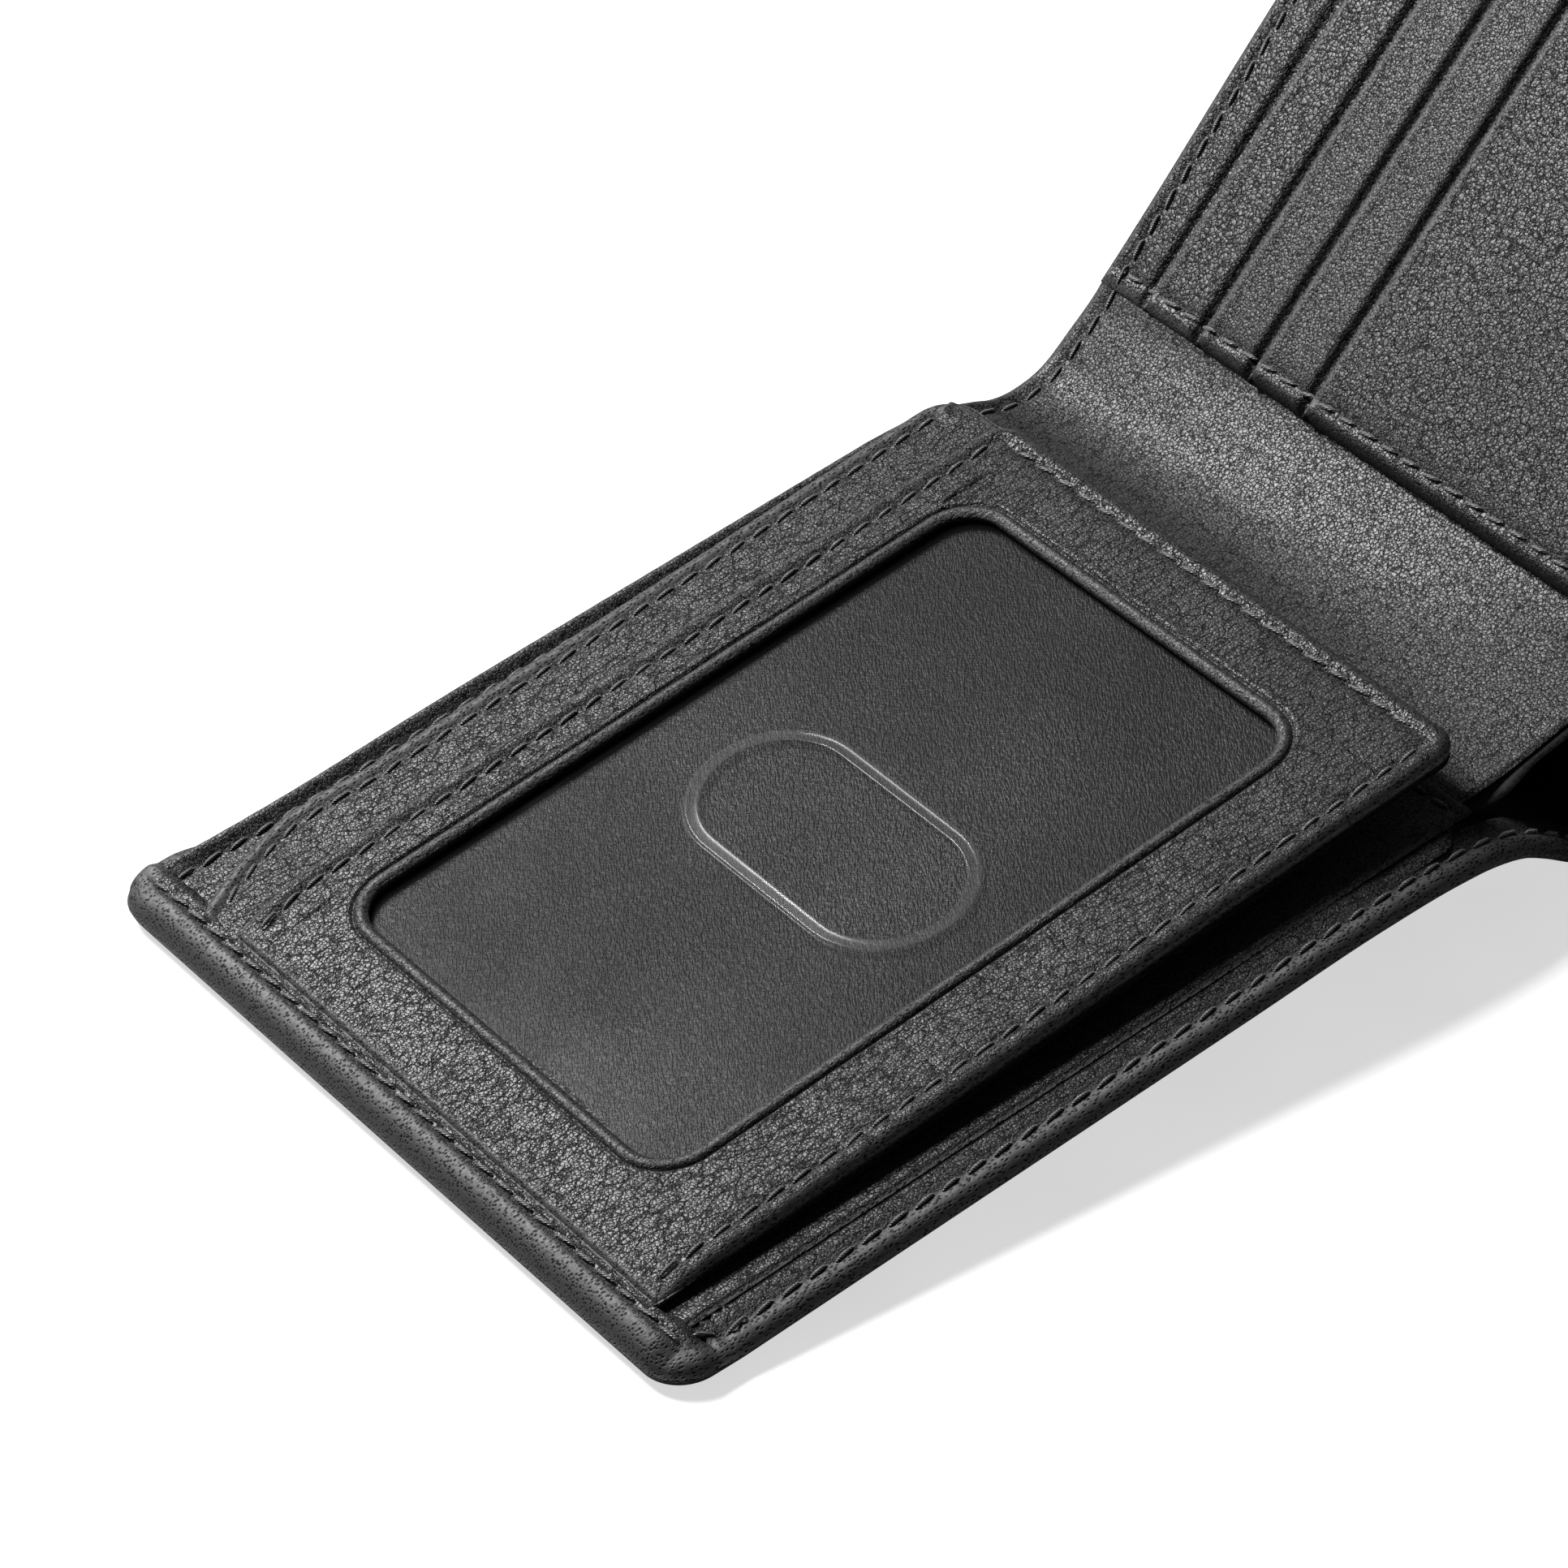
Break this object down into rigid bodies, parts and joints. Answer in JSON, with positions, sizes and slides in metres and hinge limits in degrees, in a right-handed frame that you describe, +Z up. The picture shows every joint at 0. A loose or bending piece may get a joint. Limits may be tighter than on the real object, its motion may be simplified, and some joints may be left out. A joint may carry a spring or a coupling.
{
  "type": "trifold wallet",
  "caption": "Three-leaf leather wallet, open, with an ID leaf with a clear window hinged over the left panel and stepped card slots on the right panel.",
  "frame": {"origin": "on the table, under the middle of the open wallet's length and height", "axes": "+X from the left panel's outer edge through the fold to the right panel, +Y along the fold towards the edge where the bill compartment and the card slots open, +Z up"},
  "size_m": [0.2026, 0.093, 0.0885],
  "materials": {
    "leather": "black, fine pebble grain, semi-matte",
    "thread": "black twisted thread",
    "lining": "black woven lining",
    "satin_lining": "dark satin twill",
    "clear_sheet": "clear flexible sheet"
  },
  "bodies": {
    "left_panel": {"shell_left": "leather", "lining_left": "lining", "divider_left": "leather", "pocket_left": "leather", "stitch_rim_left": "thread", "stitch_near_left": "thread", "stitch_divider_left": "thread", "stitch_pocket_left": "thread"},
    "fold_leather": {"shell_spine": "leather", "lining_spine": "lining", "divider_spine": "leather"},
    "id_leaf": {"leaf_front": "leather", "leaf_window": "clear_sheet", "leaf_lining": "satin_lining", "leaf_back": "leather", "stitch_leaf_top": "thread", "stitch_leaf_side": "thread", "stitch_leaf_near": "thread", "stitch_leaf_back": "thread"},
    "right_panel": {"shell_right": "leather", "lining_right": "lining", "divider_right": "leather", "slot_panel": "leather", "slot_pocket_1": "leather", "slot_pocket_2": "leather", "slot_pocket_3": "leather", "slot_pocket_4": "leather", "stitch_rim_right": "thread", "stitch_near_right": "thread", "stitch_divider_right": "thread", "stitch_stack_side": "thread"}
  },
  "joints": [
    {"name": "fold", "type": "hinge", "parent": "left_panel", "child": "right_panel", "pos_m": [0.01163, 0, 0.0137], "axis": [0, -1, 0], "range_deg": [-38, 142]},
    {"name": "fold_leather_bend", "type": "hinge", "parent": "left_panel", "child": "fold_leather", "pos_m": [0.01163, 0, 0.0137], "axis": [0, -1, 0], "range_deg": [-19, 71]},
    {"name": "leaf_hinge", "type": "hinge", "parent": "left_panel", "child": "id_leaf", "pos_m": [-0.0972, 0, 0.00468], "axis": [0, -1, 0], "range_deg": [0, 172]}
  ],
  "couplings": [
    {"joint": "fold_leather_bend", "follows": "fold", "ratio": 0.5}
  ]
}
